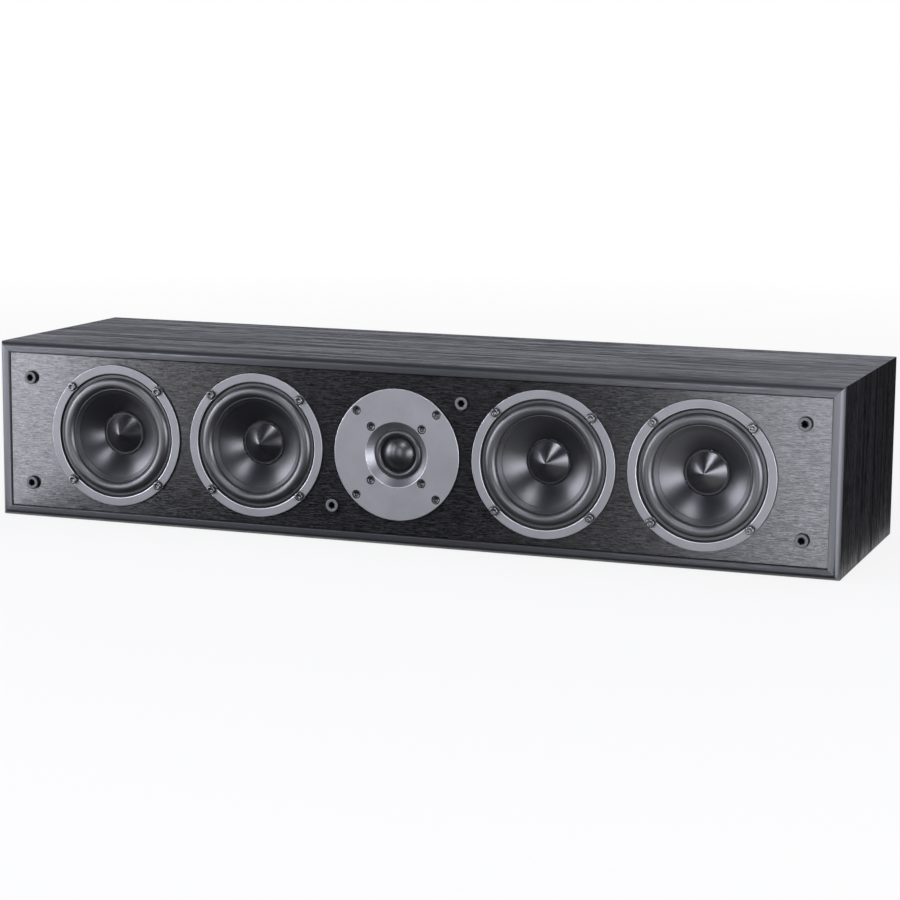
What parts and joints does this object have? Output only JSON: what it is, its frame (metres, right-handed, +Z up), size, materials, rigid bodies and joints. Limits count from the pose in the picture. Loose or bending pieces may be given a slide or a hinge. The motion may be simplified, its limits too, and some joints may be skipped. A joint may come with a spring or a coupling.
{
  "type": "center channel speaker",
  "caption": "Wide low loudspeaker cabinet with cone woofers in silver trim rings either side of a soft dome tweeter.",
  "frame": {"origin": "middle of the cabinet's underside", "axes": "+X along the width to the right of someone facing the drivers, +Y from front to rear, +Z up"},
  "size_m": [0.66, 0.1946, 0.136],
  "materials": {
    "black_ash_foil": "satin foil with a straight black ash grain",
    "brushed_foil": "satin foil, brushed along the width",
    "rear_board": "matte black paint",
    "socket_rubber": "matte grey rubber",
    "black_steel": "black oxide",
    "satin_aluminium": "satin silver",
    "coated_cloth": "black coated cloth",
    "copper_wire": "enamelled copper",
    "plated_steel": "zinc plated",
    "ferrite": "matte dark grey",
    "black_plastic": "fine matte",
    "red_plastic": "gloss",
    "nickel_brass": "nickel plated",
    "circuit_board": "green lacquer",
    "capacitor_film": "yellow film",
    "ceramic_white": "white ceramic",
    "white_wadding": "soft fibre",
    "basket_steel": "black powder coat",
    "surround_rubber": "satin black rubber",
    "cone_polymer": "satin dark grey",
    "cap_polymer": "satin dark grey",
    "spider_cloth": "resin-dipped cloth"
  },
  "bodies": {
    "cabinet": {"binding_posts": "nickel_brass", "cabinet_sleeve": "black_ash_foil", "crossover_board": "circuit_board", "crossover_capacitors": "capacitor_film", "crossover_inductors": "copper_wire", "crossover_resistors": "ceramic_white", "crossover_spacers": "black_plastic", "damping_wadding": "white_wadding", "front_baffle": "brushed_foil", "grille_sockets": "socket_rubber", "port_tube": "black_plastic", "rear_panel": "rear_board", "terminal_cup": "black_plastic", "terminal_screws": "black_steel", "tweeter_diaphragm": "coated_cloth", "tweeter_faceplate": "satin_aluminium", "tweeter_magnet": "ferrite", "tweeter_motor_screws": "black_steel", "tweeter_screws": "black_steel", "tweeter_top_plate": "plated_steel", "tweeter_yoke": "plated_steel", "woofer_1_basket": "basket_steel", "woofer_1_spider": "spider_cloth", "woofer_1_surround": "surround_rubber", "woofer_1_trim_ring": "satin_aluminium", "woofer_2_basket": "basket_steel", "woofer_2_spider": "spider_cloth", "woofer_2_surround": "surround_rubber", "woofer_2_trim_ring": "satin_aluminium", "woofer_3_basket": "basket_steel", "woofer_3_spider": "spider_cloth", "woofer_3_surround": "surround_rubber", "woofer_3_trim_ring": "satin_aluminium", "woofer_4_basket": "basket_steel", "woofer_4_spider": "spider_cloth", "woofer_4_surround": "surround_rubber", "woofer_4_trim_ring": "satin_aluminium", "woofer_magnets": "ferrite", "woofer_screws": "black_steel", "woofer_top_plates": "plated_steel", "woofer_yokes": "plated_steel"},
    "woofer_1_cone": {"woofer_1_cone": "cone_polymer", "woofer_1_dust_cap": "cap_polymer", "woofer_1_voice_coil": "copper_wire"},
    "woofer_2_cone": {"woofer_2_cone": "cone_polymer", "woofer_2_dust_cap": "cap_polymer", "woofer_2_voice_coil": "copper_wire"},
    "woofer_3_cone": {"woofer_3_cone": "cone_polymer", "woofer_3_dust_cap": "cap_polymer", "woofer_3_voice_coil": "copper_wire"},
    "woofer_4_cone": {"woofer_4_cone": "cone_polymer", "woofer_4_dust_cap": "cap_polymer", "woofer_4_voice_coil": "copper_wire"},
    "tweeter_dome": {"tweeter_voice_coil": "copper_wire"},
    "black_washer": {"black_washer": "nickel_brass"},
    "black_cap": {"black_terminal_cap": "black_plastic"},
    "red_washer": {"red_washer": "nickel_brass"},
    "red_cap": {"red_terminal_cap": "red_plastic"}
  },
  "joints": [
    {"name": "woofer_1_stroke", "type": "slide", "parent": "cabinet", "child": "woofer_1_cone", "axis": [0, -1, 0], "range_m": [-0.003, 0.003], "stiffness_N_per_m": 1200, "deforming": ["woofer_1_surround", "woofer_1_spider"]},
    {"name": "woofer_2_stroke", "type": "slide", "parent": "cabinet", "child": "woofer_2_cone", "axis": [0, -1, 0], "range_m": [-0.003, 0.003], "stiffness_N_per_m": 1200, "deforming": ["woofer_2_surround", "woofer_2_spider"]},
    {"name": "woofer_3_stroke", "type": "slide", "parent": "cabinet", "child": "woofer_3_cone", "axis": [0, -1, 0], "range_m": [-0.003, 0.003], "stiffness_N_per_m": 1200, "deforming": ["woofer_3_surround", "woofer_3_spider"]},
    {"name": "woofer_4_stroke", "type": "slide", "parent": "cabinet", "child": "woofer_4_cone", "axis": [0, -1, 0], "range_m": [-0.003, 0.003], "stiffness_N_per_m": 1200, "deforming": ["woofer_4_surround", "woofer_4_spider"]},
    {"name": "tweeter_stroke", "type": "slide", "parent": "cabinet", "child": "tweeter_dome", "axis": [0, -1, 0], "range_m": [-0.0004, 0.0004], "stiffness_N_per_m": 2000, "deforming": ["tweeter_diaphragm"]},
    {"name": "black_washer_travel", "type": "slide", "parent": "cabinet", "child": "black_washer", "axis": [0, 1, 0], "range_m": [0, 0.0028]},
    {"name": "black_cap_turn", "type": "hinge", "parent": "black_washer", "child": "black_cap", "pos_m": [-0.0095, 0.0775, 0.068], "axis": [0, 1, 0], "range_deg": [0, 1441]},
    {"name": "red_washer_travel", "type": "slide", "parent": "cabinet", "child": "red_washer", "axis": [0, 1, 0], "range_m": [0, 0.0028]},
    {"name": "red_cap_turn", "type": "hinge", "parent": "red_washer", "child": "red_cap", "pos_m": [0.0095, 0.0775, 0.068], "axis": [0, 1, 0], "range_deg": [0, 1441]}
  ],
  "couplings": [
    {"joint": "black_cap_turn", "follows": "black_washer_travel", "rad_per_m": 8976},
    {"joint": "red_cap_turn", "follows": "red_washer_travel", "rad_per_m": 8976}
  ]
}
